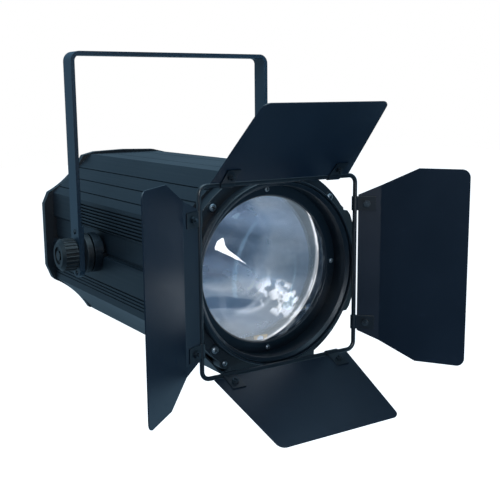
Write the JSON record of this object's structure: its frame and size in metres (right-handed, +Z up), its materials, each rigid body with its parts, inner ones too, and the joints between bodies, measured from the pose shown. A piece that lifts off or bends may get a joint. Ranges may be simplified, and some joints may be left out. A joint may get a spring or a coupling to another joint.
{
  "type": "fresnel spotlight",
  "caption": "Long studio spotlight with a smooth condenser lens, four hinged barn door leaves on a turning rod frame, a zooming lamp carriage and a flat tilting yoke.",
  "frame": {"origin": "centre of the yoke's middle bolt hole, on the top face of the strap", "axes": "+Z up along the bolt hole, -Y the way the light points, +X to the right for someone facing the lens"},
  "size_m": [0.3833, 0.5447, 0.3941],
  "materials": {
    "yoke_strap": "satin black powder coat",
    "yoke_doublers": "satin black powder coat",
    "yoke_rivets": "dark painted rivet heads",
    "yoke_disc_left": "matt black friction disc",
    "yoke_disc_right": "matt black friction disc",
    "shell_top": "black anodised extrusion",
    "shell_bottom": "black anodised extrusion",
    "front_frame": "black painted casting",
    "lens_barrel": "black anodised",
    "lens_gasket": "black",
    "lens": "clear, slightly blue",
    "lens_retainer": "black anodised",
    "retainer_screws": "zinc",
    "front_screws": "zinc",
    "rear_cap": "black painted casting",
    "rear_screws": "zinc",
    "fan_guard": "black wire",
    "fan_frame": "black",
    "control_panel": "black",
    "display_window": "dark glossy window",
    "power_inlet": "black",
    "power_outlet": "dark grey",
    "data_sockets": "dark plated",
    "fuse_holder": "black",
    "safety_eye": "zinc",
    "pivot_boss_left": "black anodised",
    "pivot_boss_right": "black anodised",
    "pivot_studs": "zinc",
    "bulkheads": "plain sheet",
    "light_tunnel": "bright sheet",
    "guide_rods": "ground",
    "screw_bearing": "plain",
    "zoom_motor": "black",
    "driver_board": "green board and module",
    "fan_rotor": "black",
    "lead_screw": "plain",
    "carriage_plate": "plain",
    "heat_sink": "plain",
    "led_array": "yellow phosphor",
    "reflector": "polished",
    "door_ring": "black anodised",
    "rod_frame": "black powder coat",
    "knob_left": "black moulded",
    "knob_right": "black moulded",
    "leaf_top": "satin black paint",
    "clips_top": "satin black paint",
    "leaf_screws_top": "zinc",
    "leaf_bottom": "satin black paint",
    "clips_bottom": "satin black paint",
    "leaf_screws_bottom": "zinc",
    "leaf_left": "satin black paint",
    "clips_left": "satin black paint",
    "leaf_screws_left": "zinc",
    "leaf_right": "satin black paint",
    "clips_right": "satin black paint",
    "leaf_screws_right": "zinc",
    "button_1": "grey",
    "button_2": "grey",
    "button_3": "grey",
    "button_4": "grey"
  },
  "bodies": {
    "yoke": {"yoke_strap": "yoke_strap", "yoke_doublers": "yoke_doublers", "yoke_rivets": "yoke_rivets", "yoke_disc_left": "yoke_disc_left", "yoke_disc_right": "yoke_disc_right"},
    "housing": {"shell_top": "shell_top", "shell_bottom": "shell_bottom", "front_frame": "front_frame", "lens_barrel": "lens_barrel", "lens_gasket": "lens_gasket", "lens": "lens", "lens_retainer": "lens_retainer", "retainer_screws": "retainer_screws", "front_screws": "front_screws", "rear_cap": "rear_cap", "rear_screws": "rear_screws", "fan_guard": "fan_guard", "fan_frame": "fan_frame", "control_panel": "control_panel", "display_window": "display_window", "power_inlet": "power_inlet", "power_outlet": "power_outlet", "data_sockets": "data_sockets", "fuse_holder": "fuse_holder", "safety_eye": "safety_eye", "pivot_boss_left": "pivot_boss_left", "pivot_boss_right": "pivot_boss_right", "pivot_studs": "pivot_studs", "bulkheads": "bulkheads", "light_tunnel": "light_tunnel", "guide_rods": "guide_rods", "screw_bearing": "screw_bearing", "zoom_motor": "zoom_motor", "driver_board": "driver_board"},
    "fan": {"fan_rotor": "fan_rotor"},
    "screw": {"lead_screw": "lead_screw"},
    "carriage": {"carriage_plate": "carriage_plate", "heat_sink": "heat_sink", "led_array": "led_array", "reflector": "reflector"},
    "doors": {"door_ring": "door_ring", "rod_frame": "rod_frame"},
    "left_knob": {"knob_left": "knob_left"},
    "right_knob": {"knob_right": "knob_right"},
    "top_leaf": {"leaf_top": "leaf_top", "clips_top": "clips_top", "leaf_screws_top": "leaf_screws_top"},
    "bottom_leaf": {"leaf_bottom": "leaf_bottom", "clips_bottom": "clips_bottom", "leaf_screws_bottom": "leaf_screws_bottom"},
    "right_leaf": {"leaf_right": "leaf_right", "clips_right": "clips_right", "leaf_screws_right": "leaf_screws_right"},
    "left_leaf": {"leaf_left": "leaf_left", "clips_left": "clips_left", "leaf_screws_left": "leaf_screws_left"},
    "menu_button_1": {"button_1": "button_1"},
    "menu_button_2": {"button_2": "button_2"},
    "menu_button_3": {"button_3": "button_3"},
    "menu_button_4": {"button_4": "button_4"}
  },
  "joints": [
    {"name": "tilt", "type": "hinge", "parent": "yoke", "child": "housing", "pos_m": [0, 0, -0.247], "axis": [1, 0, 0], "range_deg": [-55, 100]},
    {"name": "fan_spin", "type": "hinge", "parent": "housing", "child": "fan", "pos_m": [0, 0.138, -0.205], "axis": [0, 1, 0], "continuous": true},
    {"name": "zoom", "type": "slide", "parent": "housing", "child": "carriage", "axis": [0, 1, 0], "range_m": [-0.03, 0.05]},
    {"name": "screw_turn", "type": "hinge", "parent": "housing", "child": "screw", "pos_m": [0, -0.047, -0.324], "axis": [0, 1, 0], "range_deg": [-1352, 2252]},
    {"name": "door_turn", "type": "hinge", "parent": "housing", "child": "doors", "pos_m": [0, -0.238, -0.247], "axis": [0, 1, 0], "continuous": true},
    {"name": "left_knob_turn", "type": "hinge", "parent": "housing", "child": "left_knob", "pos_m": [-0.15, 0, -0.247], "axis": [-1, 0, 0], "range_deg": [0, 720]},
    {"name": "right_knob_turn", "type": "hinge", "parent": "housing", "child": "right_knob", "pos_m": [0.15, 0, -0.247], "axis": [1, 0, 0], "range_deg": [0, 720]},
    {"name": "top_leaf_swing", "type": "hinge", "parent": "doors", "child": "top_leaf", "pos_m": [0, -0.247, -0.1445], "axis": [1, 0, 0], "range_deg": [-50, 95]},
    {"name": "bottom_leaf_swing", "type": "hinge", "parent": "doors", "child": "bottom_leaf", "pos_m": [0, -0.247, -0.3495], "axis": [-1, 0, 0], "range_deg": [-73, 72]},
    {"name": "right_leaf_swing", "type": "hinge", "parent": "doors", "child": "right_leaf", "pos_m": [0.1025, -0.247, -0.247], "axis": [0, 0, -1], "range_deg": [-48, 54]},
    {"name": "left_leaf_swing", "type": "hinge", "parent": "doors", "child": "left_leaf", "pos_m": [-0.1025, -0.247, -0.247], "axis": [0, 0, 1], "range_deg": [-32, 70]},
    {"name": "button_1_press", "type": "slide", "parent": "housing", "child": "menu_button_1", "axis": [0, -1, 0], "range_m": [0, 0.0015], "stiffness_N_per_m": 400},
    {"name": "button_2_press", "type": "slide", "parent": "housing", "child": "menu_button_2", "axis": [0, -1, 0], "range_m": [0, 0.0015], "stiffness_N_per_m": 400},
    {"name": "button_3_press", "type": "slide", "parent": "housing", "child": "menu_button_3", "axis": [0, -1, 0], "range_m": [0, 0.0015], "stiffness_N_per_m": 400},
    {"name": "button_4_press", "type": "slide", "parent": "housing", "child": "menu_button_4", "axis": [0, -1, 0], "range_m": [0, 0.0015], "stiffness_N_per_m": 400}
  ],
  "couplings": [
    {"joint": "screw_turn", "follows": "zoom", "rad_per_m": 785.4}
  ]
}
